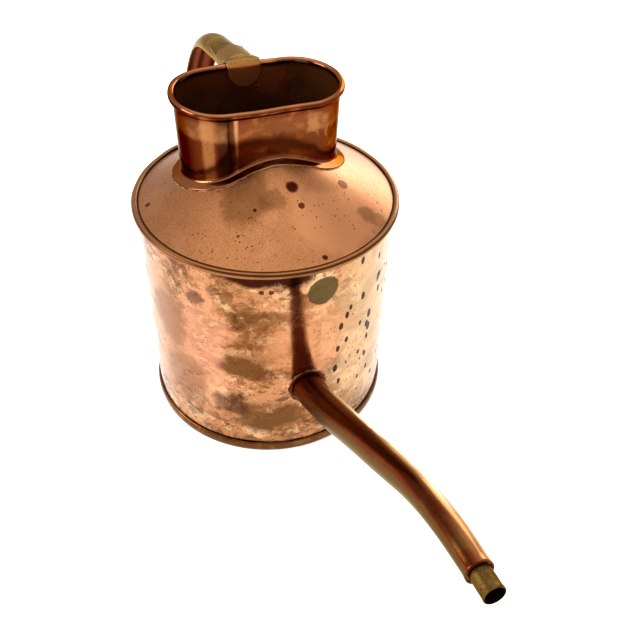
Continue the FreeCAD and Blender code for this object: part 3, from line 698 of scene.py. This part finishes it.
shoulderLook = {
    "tone": "clay", "dust": "bronze", "rough": 0.31, "dents": 0.5, "bump": 0.3, "mottle": 0.42,
    "layers": [
        ("sand", 11.0, 1.0, 0.44, 0.62, 0.7, 0.0),
        ("peach", 26.0, 1.0, 0.54, 0.66, 0.5, 0.0),
        ("bronze", 30.0, 1.0, 0.62, 0.74, 0.6, 0.06),
        ("bronze", 260.0, 1.0, 0.60, 0.68, 0.4, 0.04),
    ],
    "pits": (0.46, 0.62), "pitScale": 300.0,
    "clouds": [
        (*onShoulder(-35, 0.048), 22 * mm, 1.0, "bronze", 0.6),
        (*onShoulder(-12, 0.046), 12 * mm, 1.0, "bronze", 0.5),
        # painted light: a paler tan cloud over the shoulder's right side
        (*onShoulder(24, 0.072), 34 * mm, 1.0, "tan", 0.8),
        (*onShoulder(44, 0.084), 9 * mm, 1.0, "bronze", 0.6),
    ],
    "spots": [
        (*onShoulder(9, 0.040), 5.2 * mm, "mahogany", 0.8),
        (*onShoulder(9, 0.040), 4.0 * mm, "garnet", 0.8),
        (*onShoulder(9, 0.054), 2.8 * mm, "mahogany", 0.9),
        (*onShoulder(-26, 0.054), 1.5 * mm, "garnet", 0.9),
        (*onShoulder(-33, 0.0725), 1.4 * mm, "chestnut", 0.9),
        (*onShoulder(8, 0.091), 2.2 * mm, "garnet", 0.9),
        (*onShoulder(54, 0.058), 4.8 * mm, "chestnut", 0.7),
        (*onShoulder(46, 0.090), 7.0 * mm, "amber", 0.8),
        (*onShoulder(-94, 0.088), 2.4 * mm, "garnet", 0.8),
    ],
    "rings": [
        # the pitch ring at 0.0952 is painted shade in the groove where the bead meets the shoulder
        (0.0985, 0.0034, "amber", 0.7), (0.0952, 0.0009, "pitch", 0.95), (0.0994, 0.0006, "umber", 0.8),
    ],
}
copperShoulder = copper("copperShoulder", shoulderLook)
place(shoulder, copperShoulder, "copper_shoulder", "shoulder_plate")


# profile points: out from the rim line, share of the wall's height, and height above its end
wallOut, baseOut = neck["outside"], neck["outside"] - neck["taper"]
bend = neck["fillet"]
down = np.linspace(0, 1, 30)
outF, upF = roundStretch(baseOut + bend, sheetThickness + bend, bend, 270, 180, 10)
inF, inUp = roundStretch(baseOut + bend, sheetThickness + bend, bend + sheetThickness, 180, 270, 10)
lipA = np.radians(span(-102, 237.2, 40))
rimX, rimZ = neck["rimRadius"] * np.cos(lipA), neck["rimRadius"] * np.sin(lipA)
flangeEnd = neck["flange"]
u, share, v = chain(
    (span(flangeEnd, baseOut + bend, 6), 0, sheetThickness),
    (outF, 0, upF),
    (baseOut + (wallOut - baseOut) * down, down, (sheetThickness + bend) * (1 - down) - 2.3 * mm * down),
    (rimX, 1, rimZ),
    (wallOut - sheetThickness + (baseOut - wallOut) * (1 - down[::-1]), down[::-1],
     (sheetThickness + bend) * (1 - down[::-1]) - 2.0 * mm * down[::-1]),
    (inF, 0, inUp),
    (span(baseOut + bend, flangeEnd, 6), 0, 0.0),
    (flangeEnd + 0.35 * mm, 0, [0.15 * mm, 0.4 * mm, 0.65 * mm]),
)
t = span(0, 1, neck["steps"])[:, None]
wave = ripple(t * turn, 0, 31, (2, 10)) * neck["wave"]
edge = ripple(t * turn, 0, 32, (4, 26)) * 0.5 * mm
edge = edge * smooth(u, 3 * mm, 6 * mm)[None, :] * (1 - share)[None, :]
x, y = neckOutline(t, u[None, :] + 0.5 * wave * share[None, :] + edge)
low = coneHeight(x, y)
z = low * (1 - share) + (neck["rim"] + wave) * share + v
copperNeck = copper("copperNeck", {
    "tone": "mahogany", "dust": "chestnut", "rough": 0.10, "dents": 0.5, "bump": 0.3,
    # inside is painted light, an ember glow on the inner faces; crown is painted light, a paler clay on
    # upward faces
    "inside": ("ember", 0.8, 0.08), "edge": (0.46, 0.36, 0.30), "crown": ("clay", 0.6),
    "layers": [
        ("chestnut", 16.0, 1.3, 0.44, 0.58, 0.7, 0.03),
        ("sand", 34.0, 0.6, 0.56, 0.66, 0.6, 0.03),
        ("orange", 60.0, 1.6, 0.52, 0.62, 0.5, 0.0),
        ("umber", 55.0, 0.8, 0.58, 0.70, 0.7, 0.1),
    ],
    "pits": (0.5, 0.66), "bands": [(0.240, 0.259, "sand", 0.5)],
    # painted light: glows on the inner back wall of the neck
    "clouds": [
        (-0.052, 0.020, 0.250, 15 * mm, 1.0, "ember", 1.0),
        (-0.052, -0.032, 0.232, 15 * mm, 1.0, "ember", 1.0),
        (-0.050, 0.044, 0.236, 9 * mm, 1.0, "tan", 0.9),
    ],
    # painted reflections: garnet, chestnut and amber reflection bands, and a peach highlight streak
    "streaks": [
        (-0.014, -0.0620, 27 * mm, "garnet", 1.0), (-0.010, 0.0620, 22 * mm, "chestnut", 0.8),
        (0.0190, -0.0345, 7 * mm, "garnet", 0.9), (0.0130, -0.0450, 5 * mm, "amber", 0.8),
        (0.0196, -0.0262, 2.0 * mm, "peach", 0.9),
    ],
})
neckPiece = gridMesh("neck", np.stack([x, y, z], -1), True, True, inner=(86, 132))
place(neckPiece, copperNeck, "copper_neck", "neck_wall")


# A run of solder round a closed line: half ellipses of this width and height, sunk a little.
def solderBead(name, centre, side, up, width, height):
    a = np.linspace(0, math.pi, 10)[None, :, None]
    points = (centre[:, None] + side[:, None] * (np.cos(a) * width[:, None, None])
              + up[:, None] * (np.sin(a) * height[:, None, None] - 0.3 * mm))
    return gridMesh(name, points, True, True)


t = span(0, 1, 500)
x, y = neckOutline(t, flangeEnd + 0.3 * mm)
away = np.hypot(x, y)
lean, rise = math.sin(cone["tilt"]), math.cos(cone["tilt"])
upward = np.stack([x / away * lean, y / away * lean, 0 * x + rise], -1)
x2, y2 = neckOutline(t, flangeEnd + 1.3 * mm)
side = np.stack([x2 - x, y2 - y, coneHeight(x2, y2) - coneHeight(x, y)], -1)
side = side / np.linalg.norm(side, axis=-1, keepdims=True)
lump = ripple(t * turn, 0, 41, (5, 60), waves=12)
neckSolder = solderBead("neckSolder", np.stack([x, y, coneHeight(x, y)], -1), side, upward,
                        (0.6 + 0.25 * lump) * mm, (0.6 + 0.15 * lump) * mm)
place(neckSolder, softSolder, "soft_solder", "neck_solder")


spout = {
    "start": (0.086, 0.0667), "heading": 19.0,
    "steps": [(0.358, 30.3), (0.1158,), (0.186, 8.0), (0.011,)],
    "rootRadius": 12.7 * mm, "tipRadius": 7.5 * mm, "flare": 0.35 * mm, "around": 96, "rows": 150,
}
spoutPath = route(spout["start"], spout["heading"], spout["steps"])
spoutLength = spoutPath[0][-1]
rootTilt = math.radians(spout["heading"])
rootWay = np.array([math.cos(rootTilt), 0, math.sin(rootTilt)])
phi = span(0, turn, spout["around"])[:, None]


# The spout's skin: circles beside its path, from where each line meets the body's wall to the tip.
# The radius falls evenly from the root's to the tip's, less the inset, and flares at the end.
def spoutSkin(inset, shares):
    across, up = (spout["rootRadius"] - inset) * np.cos(phi), (spout["rootRadius"] - inset) * np.sin(phi)
    first = reach(beside(spoutPath, 0 * phi, across, up), rootWay, shell["radius"] - 0.5 * mm)
    s = first + (spoutLength - first) * shares[None, :]
    along = s / spoutLength
    size = spout["rootRadius"] + (spout["tipRadius"] - spout["rootRadius"]) * along - inset
    size = size + spout["flare"] * smooth(s, spoutLength - 5 * mm, spoutLength)
    size = size + 0.16 * mm * ripple(phi, s, 51, (1, 4), (0.05, 0.2)) * smooth(along, 0.02, 0.1)
    return beside(spoutPath, s, size * np.cos(phi), size * np.sin(phi))


shares = np.linspace(0, 1, spout["rows"])
tube = np.concatenate([spoutSkin(0.0, shares), spoutSkin(sheetThickness, shares[::-1])], 1)
copperSpout = copper("copperSpout", {
    "tone": "mahogany", "dust": "umber", "rough": 0.22, "dents": 0.5, "bump": 0.25,
    "edge": (0.88, 0.80, 0.66), "mottle": 0.5,
    "layers": [
        ("chestnut", 18.0, 1.0, 0.46, 0.62, 0.7, 0.0),
        ("olive", 34.0, 1.0, 0.56, 0.70, 0.5, 0.05),
        ("umber", 70.0, 1.0, 0.58, 0.70, 0.5, 0.06),
    ],
    # painted reflection and highlight: a dark bark band on the lower left side, a sand and cream highlight
    # on the upper right side
    "sides": [
        ((0.22, -0.86, -0.47), 0.58, 0.78, 0.12, 0.37, "bark", 0.95),
        ((-0.22, 0.86, 0.47), 0.30, 1.05, 0.20, 0.40, "sand", 0.9),
        ((-0.22, 0.86, 0.47), 0.84, 1.02, 0.11, 0.30, "cream", 0.95),
    ],
    "pits": (0.48, 0.64),
})
spoutTube = gridMesh("spoutTube", tube, True, True, inner=(spout["rows"], 2 * spout["rows"]))
place(spoutTube, copperSpout, "copper_spout", "spout_tube")


# A ring round the spout's root: rho from the spout's axis, then along it until it is at this
# height above the wall.
def rootRing(name, rho, height):
    a = span(0, turn, rho.shape[0])[:, None]
    offset = np.stack([-math.sin(rootTilt) * rho * np.sin(a), rho * np.cos(a),
                       math.cos(rootTilt) * rho * np.sin(a)], -1)
    centre = np.array([spout["start"][0], 0, spout["start"][1]]) + offset
    d = reach(centre, rootWay, shell["radius"] + height)
    return gridMesh(name, centre + d[..., None] * rootWay, True, True)


collar = {"inside": 12.4 * mm, "outside": 14.5 * mm, "height": 1.5 * mm}
a = span(0, turn, 160)[:, None]
rho, rise = chain(
    (collar["inside"], span(-0.3 * mm, collar["height"], 4)),
    (span(collar["inside"], collar["outside"] - 0.5 * mm, 4), collar["height"]),
    roundStretch(collar["outside"] - 0.5 * mm, collar["height"] - 0.5 * mm, 0.5 * mm, 90, 0, 5),
    (collar["outside"], span(collar["height"] - 0.5 * mm, -0.3 * mm, 4)),
)
rough = ripple(a, 0, 61, (2, 12))
spoutCollar = rootRing("spoutCollar", rho[None, :] + 0.12 * mm * rough, rise[None, :] + 0.1 * mm * rough)
place(spoutCollar, copperSpout, "copper_spout", "spout_root_collar")

lumps = ripple(a, 0, 62, (4, 30), waves=12)
width = (1.5 + 0.9 * np.maximum(np.sin(a), 0) + 0.45 * lumps) * mm
t = np.linspace(0, math.pi, 12)[None, :]
rho = collar["outside"] - 0.3 * mm + width * (1 - np.cos(t)) / 2
rise = (0.95 + 0.3 * lumps) * mm * np.sin(t) ** 0.8 * (1 - 0.3 * t / math.pi) - 0.25 * mm
place(rootRing("spoutSolder", rho, rise), softSolder, "soft_solder", "spout_solder")

tip = {
    "radius": 6.0 * mm, "bore": 4.9 * mm, "reach": 13.5 * mm, "back": 8.0 * mm, "lip": 0.25 * mm,
    "mouth": 0.55 * mm,
}
s, size = chain(
    (span(-tip["back"], -1 * mm, 5), tip["radius"] - 0.4 * mm),
    (span(-1 * mm, tip["reach"] - 0.4 * mm, 24), tip["radius"]),
    roundStretch(tip["reach"] - 0.35 * mm, tip["radius"] - 0.35 * mm, 0.35 * mm, 90, 0, 4),
    (tip["reach"], span(tip["radius"] - 0.35 * mm, tip["bore"] + 0.2 * mm, 3)),
    (span(tip["reach"] - 0.2 * mm, -tip["back"], 24), tip["bore"]),
    (-tip["back"], span(tip["bore"], tip["radius"] - 0.4 * mm, 3)),
)
# the mouth opens the bore only
bored = smooth(-size, -tip["bore"] - 0.1 * mm, -tip["bore"]) * tip["mouth"]
size = (size + (tip["lip"] + bored) * smooth(s, tip["reach"] - 3 * mm, tip["reach"]))[None, :]
size = size + 0.07 * mm * ripple(phi, 0, 71, (2, 5)) * smooth(s, 0.004, 0.012)[None, :]
ferrule = beside(spoutPath, spoutLength + s[None, :] + 0 * phi, size * np.cos(phi), size * np.sin(phi))
brass = copper("oldBrass", {
    "tone": "khaki", "dust": "umber", "rough": 0.34, "dents": 0.3, "bump": 0.3,
    # inside is painted shade: the bore is coloured pitch dark
    "inside": ("pitch", 1.0, 0.4), "edge": (0.7, 0.6, 0.4), "mottle": 0.6,
    "layers": [("olive", 60.0, 1.0, 0.30, 0.50, 1.0, 0.08), ("umber", 140.0, 1.0, 0.52, 0.66, 0.8, 0.1)],
    "pits": (0.5, 0.66),
})
spoutFerrule = gridMesh("spoutFerrule", ferrule, True, True, inner=(36, 60))
place(spoutFerrule, brass, "brass_ferrule", "spout_ferrule")


handle = {
    "start": (-0.057, 0.258), "heading": 189.0,
    "steps": [(0.0628,), (0.070, 225.0), (0.190, 243.0), (0.058, 345.0), (0.008,)],
    "round": 13.18 * mm, "half": math.degrees(math.asin(12.5 / 13.18)), "rows": 220,
    "sink": 4.18 * mm, "sheet": 1.0 * mm, "lean": -4.0 * mm,
}
handlePath = route(handle["start"], handle["heading"], handle["steps"])
handleLength = handlePath[0][-1]


# a point of the strap's section by angle and radius, as distances across and outwards
def strapSection(degrees, radius):
    a = np.radians(degrees)
    return radius * np.sin(a), radius * np.cos(a) - handle["sink"]


edgeR = handle["sheet"] / 2
edgeTurn = np.degrees(edgeR / handle["round"])
lip = np.radians(span(-90, 90, 6))
deg, rad = chain(
    (span(-handle["half"], handle["half"], 40), handle["round"]),
    (handle["half"] + edgeTurn * np.cos(lip), handle["round"] - edgeR - edgeR * np.sin(lip)),
    (span(handle["half"], -handle["half"], 40), handle["round"] - handle["sheet"]),
    (-handle["half"] - edgeTurn * np.cos(lip), handle["round"] - edgeR + edgeR * np.sin(lip)),
)
across, out = strapSection(deg, rad)
across, out = across[None, :], out[None, :]
# the strap's lower end runs on to the upright cylinder over the foot plate
lastX = beside(handlePath, handleLength + 0 * across, across, -out)[..., 0]
seat = shell["radius"] + 1.4 * mm
gap = (-np.sqrt(seat ** 2 - across ** 2) - lastX) / math.cos(handlePath[3][-1])
t = np.linspace(0, 1, handle["rows"])[:, None]
s = (handleLength + gap) * t
squeeze = 1 + 0.012 * ripple(0 * t, s, 81, (1, 3), (0.05, 0.2))
lean = handle["lean"] * np.sin(math.pi * np.clip(t, 0, 1)) ** 1.5
strap = beside(handlePath, s, across * squeeze + lean, -out * (2 - squeeze))
copperHandle = copper("copperHandle", {
    "tone": "khaki", "dust": "olive", "rough": 0.24, "dents": 0.5, "bump": 0.3,
    # inside is a painted reflection: the strap's inner face is coloured oxblood, as the body reflected in it
    "edge": (0.85, 0.76, 0.60), "inside": ("oxblood", 0.95, 0.04),
    "layers": [
        ("olive", 24.0, 1.0, 0.46, 0.64, 0.7, 0.05),
        ("brass", 40.0, 1.0, 0.52, 0.66, 0.6, 0.0),
        ("umber", 70.0, 1.0, 0.58, 0.70, 0.6, 0.1),
    ],
    "pits": (0.45, 0.62),
})
strapPiece = gridMesh("handleStrap", strap, False, True, inner=(46, 86))
place(strapPiece, copperHandle, "copper_handle", "handle_strap")

# The tongue: a cuff over the strap's end that flattens, folds over the rim and hangs inside.
# Its middle line is a straight run, a Bezier curve, a quarter round and a drop; across it lies
# an arc that gives way to a low crown, and a half round end.
tongue = {
    "round": 14.2 * mm, "half": 72.5, "cuff": 24 * mm, "drop": 14.0 * mm, "halfWidth": 12.5 * mm,
    "lip": 3.45 * mm, "crown": 1.3 * mm, "sheet": 0.92 * mm, "rim": (-53.6 * mm, neck["rim"]),
}
beadX, beadZ = tongue["rim"]
back = math.radians(handle["heading"] - 180)
alongCuff, offCuff = np.array([math.cos(back), math.sin(back)]), np.array([-math.sin(back), math.cos(back)])
cuffTop = np.array(handle["start"]) + (tongue["round"] - handle["sink"]) * offCuff
cuffEnd = cuffTop - tongue["cuff"] * alongCuff
rimTop = np.array([beadX, beadZ + tongue["lip"]])
controls = [cuffTop, cuffTop + np.array([1.6, 0.2]) * mm, rimTop - np.array([2.4, 0]) * mm, rimTop]
k = np.linspace(0, 1, 14)[:, None]
fold = sum(
    math.comb(3, power) * (1 - k) ** (3 - power) * k ** power * point
    for power, point in enumerate(controls)
)
wrap = np.stack(roundStretch(beadX, beadZ, tongue["lip"], 90, 0, 12), -1)[1:]
hangTop = np.array([beadX + tongue["lip"], beadZ])
hangEnd = hangTop - np.array([0, tongue["drop"]])
hang = hangTop + (hangEnd - hangTop) * np.linspace(0, 1, 30)[:, None] ** 0.9
cuff = cuffEnd + (cuffTop - cuffEnd) * np.linspace(0, 1, 24)[:-1, None]
line = np.concatenate([cuff, fold, wrap, hang])
way = np.gradient(line, axis=0)
way = way / np.linalg.norm(way, axis=1, keepdims=True)
dome = 1 - smooth(line[:, :1], cuffTop[0] + 0.4 * mm, beadX - 0.6 * mm)
v = np.linspace(-1, 1, 33)[None, :]
leftOver = np.clip((line[:, 1:] - hangEnd[1]) / tongue["halfWidth"], 0, 1)
leftOver = np.where(line[:, :1] > beadX, leftOver, 1.0)
taper = np.sqrt(np.maximum(1 - (1 - leftOver) ** 2, 0.02))
a = np.radians(tongue["half"]) * v
across = dome * tongue["round"] * np.sin(a) + (1 - dome) * tongue["halfWidth"] * v * taper
out = dome * tongue["round"] * (np.cos(a) - 1) + (1 - dome) * tongue["crown"] * (1 - (v * taper) ** 2)
grid = np.stack([line[:, :1] - out * way[:, 1:], across, line[:, 1:] + out * way[:, :1]], -1)
tonguePiece = gridMesh("handleTongue", grid[:, ::-1], closed=False)
solid = tonguePiece.modifiers.new("thickness", "SOLIDIFY")
solid.thickness, solid.offset, solid.use_even_offset = tongue["sheet"], -1.0, True
dullCopper = copper("dullCopper", {
    "tone": "khaki", "dust": "amber", "rough": 0.30, "dents": 0.4, "bump": 0.35, "metal": 0.85,
    # sides is painted light: the faces that look along +X take an ember tone, as if lit
    "edge": (0.85, 0.76, 0.60), "sides": [((0.98, 0.0, 0.2), 0.85, 1.05, -0.3, 0.3, "ember", 0.95)],
    "layers": [("amber", 70.0, 1.0, 0.46, 0.66, 0.6, 0.05), ("chestnut", 120.0, 1.0, 0.56, 0.70, 0.5, 0.05)],
    "pits": (0.45, 0.62),
})
place(tonguePiece, dullCopper, "copper_handle", "handle_tongue")

# the half-moon plate that closes the strap's end against the neck
capPlate = {"thick": 0.9 * mm, "radius": handle["round"] - 0.1 * mm}
v = np.linspace(-1, 1, 33)[:, None] * math.radians(handle["half"])
t = np.concatenate([np.linspace(0, 1, 8), np.linspace(1, 0, 8)])[None, :]
depth = np.concatenate([np.zeros(8), np.full(8, capPlate["thick"])])[None, :]
across = capPlate["radius"] * np.sin(v) + 0 * t
out = t * (capPlate["radius"] * np.cos(v) - handle["sink"])
cap = beside(handlePath, depth + 0 * across, across, -out)
place(gridMesh("handleCap", cap, False, True), copperHandle, "copper_handle")

# the foot plate's outline is two half rounds joined by straight sides, wrapped on the wall
plate = {
    "halfWidth": 15 * mm, "halfHeight": 22 * mm, "centre": 0.080, "thick": 1.5 * mm,
    "edge": 0.5 * mm, "edgeShare": 0.06, "sunk": 0.3 * mm,
}
a = span(0, turn, 120)[:, None]
run = plate["halfHeight"] - plate["halfWidth"]
ringY = plate["halfWidth"] * np.cos(a)
ringZ = plate["halfWidth"] * np.sin(a) + run * np.clip(np.sin(a) * 8, -1, 1)
corner = np.radians(span(0, 90, 6))
share, rise = chain(
    (span(0, 1 - plate["edgeShare"], 14), plate["thick"]),
    (1 - plate["edgeShare"] * (1 - np.sin(corner)), plate["thick"] - plate["edge"] * (1 - np.cos(corner))),
    (1.0, span(plate["thick"] - plate["edge"], -plate["sunk"], 4)),
    (np.linspace(1.0, 0, 10), -plate["sunk"]),
)
y, z = ringY * share[None, :], plate["centre"] + ringZ * share[None, :]
x = -np.sqrt((shell["radius"] + rise[None, :]) ** 2 - y ** 2)
footPlate = gridMesh("handleFootPlate", np.stack([x, y, z], -1), True)
place(footPlate, copperHandle, "copper_handle", "handle_foot_plate")

# rivet heads: half ellipses turned about their own axes
rivet = {"radius": 4 * mm, "height": 1.9 * mm, "pitch": 31 * mm}
a = span(0, turn, 36)[:, None]
t = np.radians(np.linspace(0, 90, 12))[None, :]
size = np.concatenate([np.sin(t), np.ones((1, 2)), np.linspace(1, 0, 4)[None, :]], 1)
rise = np.concatenate([np.cos(t), np.array([[-0.15, -0.3]]), np.full((1, 4), -0.3)], 1)
heads = []
for height in (plate["centre"] - rivet["pitch"] / 2, plate["centre"] + rivet["pitch"] / 2):
    wobble = 1 + 0.03 * ripple(a, 0, int(height * 1000), (2, 5))
    y = rivet["radius"] * size * np.cos(a) * wobble
    z = height + rivet["radius"] * size * np.sin(a) * wobble
    x = -(shell["radius"] + plate["thick"] - 0.05 * mm + rivet["height"] * rise + 0 * a)
    heads.append(np.stack([x, y, z], -1))
copperRivet = copper("copperRivet", {
    "tone": "tan", "dust": "chestnut", "rough": 0.22, "dents": 0.2, "bump": 0.3,
    "layers": [("bronze", 90.0, 1.0, 0.42, 0.62, 0.8, 0.08)],
    "pits": (0.45, 0.62),
})
place(gridMesh("rivets", heads, True), copperRivet, "copper_rivet", "handle_rivets")


# CAD nodes that stay as they are, hidden or nearly so
kept = {
    "base_solder": softSolder, "shoulder_solder": softSolder, "tip_solder": softSolder,
    "handle_solder": softSolder, "shoulder_wire": ironWire, "neck_rim_wire": ironWire,
}
for node, material in kept.items():
    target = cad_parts[node]
    for item in target if isinstance(target, (list, tuple)) else [target]:
        for slot in item.material_slots:
            slot.material = material
        if not item.material_slots:
            item.data.materials.append(material)
print("CAD nodes kept:", ", ".join(kept))


# Pale matt floor with a little light of its own.
def floorPaint(sheet):
    return sheet.node("BsdfPrincipled", {}, {
        "Base Color": (0.93, 0.93, 0.93), "Roughness": 0.9,
        "Emission Color": (1.0, 1.0, 1.0), "Emission Strength": 0.5,
    })


floorSize = 6.0
far = floorSize / 2
mesh = bpy.data.meshes.new("floor")
mesh.from_pydata([(-far, -far, 0), (far, -far, 0), (far, far, 0), (-far, far, 0)], [], [(0, 1, 2, 3)])
floor = bpy.data.objects.new("floor", mesh)
floor.location.z = cadBox[0][2] - 0.1 * mm
floor.data.materials.append(finish("paleFloor", floorPaint))
bpy.context.scene.collection.objects.link(floor)


# A rectangular soft light at one point that faces another; sizes in metres, power in watts.
def panel(name, point, target, width, height, power):
    light = bpy.data.lights.new(name, "AREA")
    light.shape, light.size, light.size_y, light.energy = "RECTANGLE", width, height, power
    lamp = bpy.data.objects.new(name, light)
    lamp.location = point
    lamp.rotation_euler = (Vector(target) - Vector(point)).to_track_quat("-Z", "Y").to_euler()
    bpy.context.scene.collection.objects.link(lamp)


panel("rightPanel", (-1.0, 1.15, 0.58), (0, 0, 0.15), 0.9, 0.8, 7)
panel("leftPanel", (-0.2, -1.6, 0.8), (0, 0, 0.15), 0.9, 0.7, 14)
panel("topPanel", (-0.6, 0.1, 2.2), (0, 0, 0), 2.4, 2.4, 12)

world = bpy.data.worlds.new("studio")
bpy.context.scene.world = world
world.use_nodes = True
sky = world.node_tree.nodes["Background"]
sky.inputs["Color"].default_value = (0.80, 0.78, 0.76, 1)
sky.inputs["Strength"].default_value = 0.8

# metres and radians; turned is the camera's angle about the can
view = {
    "turned": math.radians(-17.25), "distance": 0.50254, "height": 0.51826,
    "yaw": 0.088, "pitch": 0.7442, "roll": 0.0422, "lens": 44.5, "near": 0.02,
}
pitch, yaw, roll = view["pitch"], view["yaw"], view["roll"]
forward = Vector((-math.cos(pitch) * math.cos(yaw), math.cos(pitch) * math.sin(yaw), -math.sin(pitch)))
level = forward.cross(Vector((0, 0, 1))).normalized()
upright = level.cross(forward)
rightWay = math.cos(roll) * level + math.sin(roll) * upright
upWay = math.cos(roll) * upright - math.sin(roll) * level
basis = Matrix((rightWay, upWay, -forward)).transposed().to_4x4()
basis.translation = Vector((view["distance"], 0, view["height"]))
lens = bpy.data.cameras.new("camera")
lens.lens, lens.sensor_width, lens.clip_start = view["lens"], 36.0, view["near"]
camera = bpy.data.objects.new("camera", lens)
camera.matrix_world = Matrix.Rotation(view["turned"], 4, "Z") @ basis
bpy.context.scene.collection.objects.link(camera)
bpy.context.scene.camera = camera
bpy.context.scene.view_settings.view_transform = "Standard"
bpy.context.scene.view_settings.look = "Medium High Contrast"
print("camera and light set")
